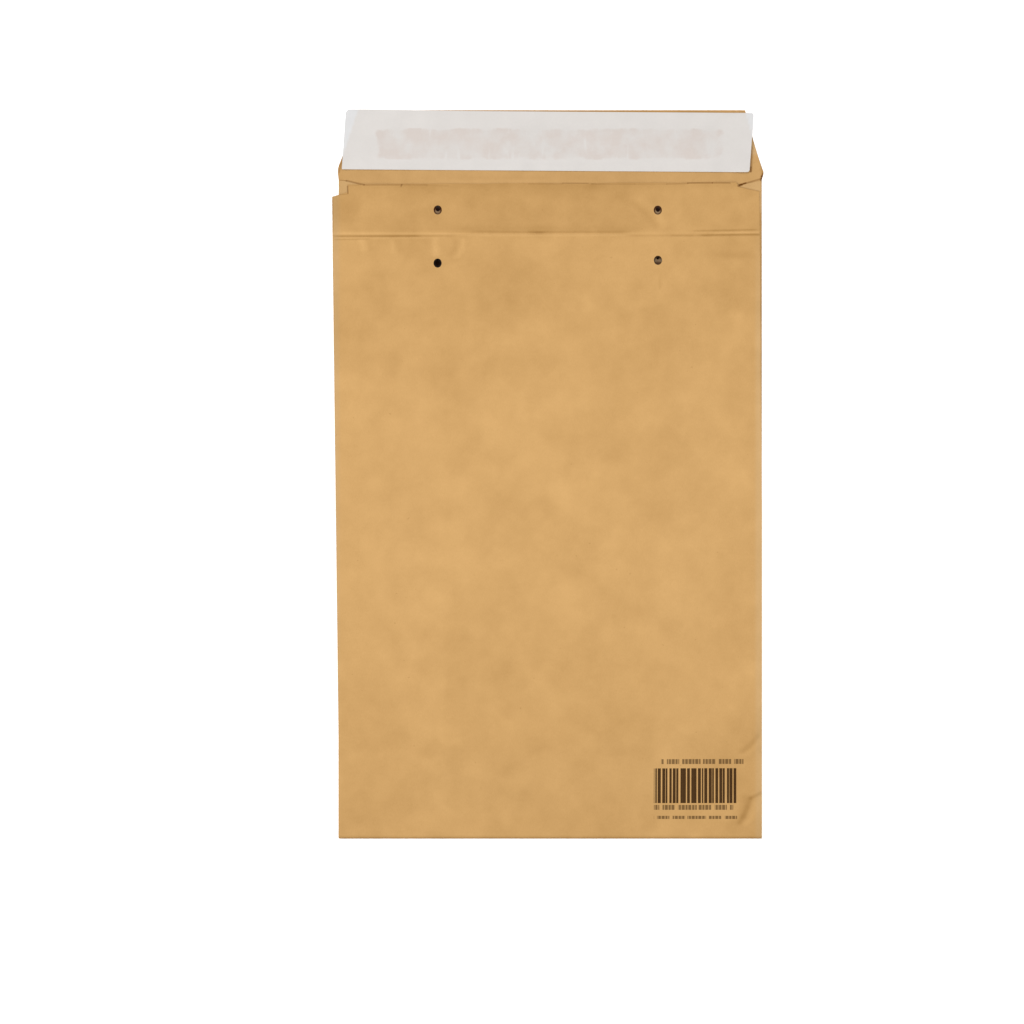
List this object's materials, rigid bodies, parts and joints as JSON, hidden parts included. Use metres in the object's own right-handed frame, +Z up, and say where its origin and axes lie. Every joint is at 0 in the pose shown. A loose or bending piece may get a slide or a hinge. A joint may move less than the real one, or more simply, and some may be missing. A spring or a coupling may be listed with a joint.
{
  "type": "padded envelope",
  "caption": "Open paper-padded kraft mailing envelope for C4 sheets, with its closing flap, adhesive strip and release liner.",
  "frame": {"origin": "centre of the bounding box on the surface that the front panel lies on", "axes": "+X across the envelope, +Y from the bottom fold to the flap, +Z up out of the back panel"},
  "size_m": [0.2448, 0.413, 0.0059],
  "materials": {
    "kraft_paper": "golden brown machine-finished kraft paper, matt with a slight sheen",
    "fibre_padding": "grey-beige shredded paper fibre, matt and fluffy",
    "lining_tissue": "pale brown crepe tissue, matt",
    "seam_glue": "dried cream paper glue, satin",
    "flap_adhesive": "warm cream pressure-sensitive adhesive, tacky sheen",
    "liner_paper": "thin white silicone-coated release paper, slightly translucent, satin"
  },
  "bodies": {
    "root": {"kraft_envelope": "kraft_paper", "front_padding": "fibre_padding", "back_padding": "fibre_padding", "lining_pocket": "lining_tissue", "left_seam_glue": "seam_glue", "right_seam_glue": "seam_glue", "front_mouth_glue": "seam_glue", "back_mouth_glue": "seam_glue", "flap_adhesive": "flap_adhesive", "release_liner": "liner_paper"}
  },
  "joints": []
}
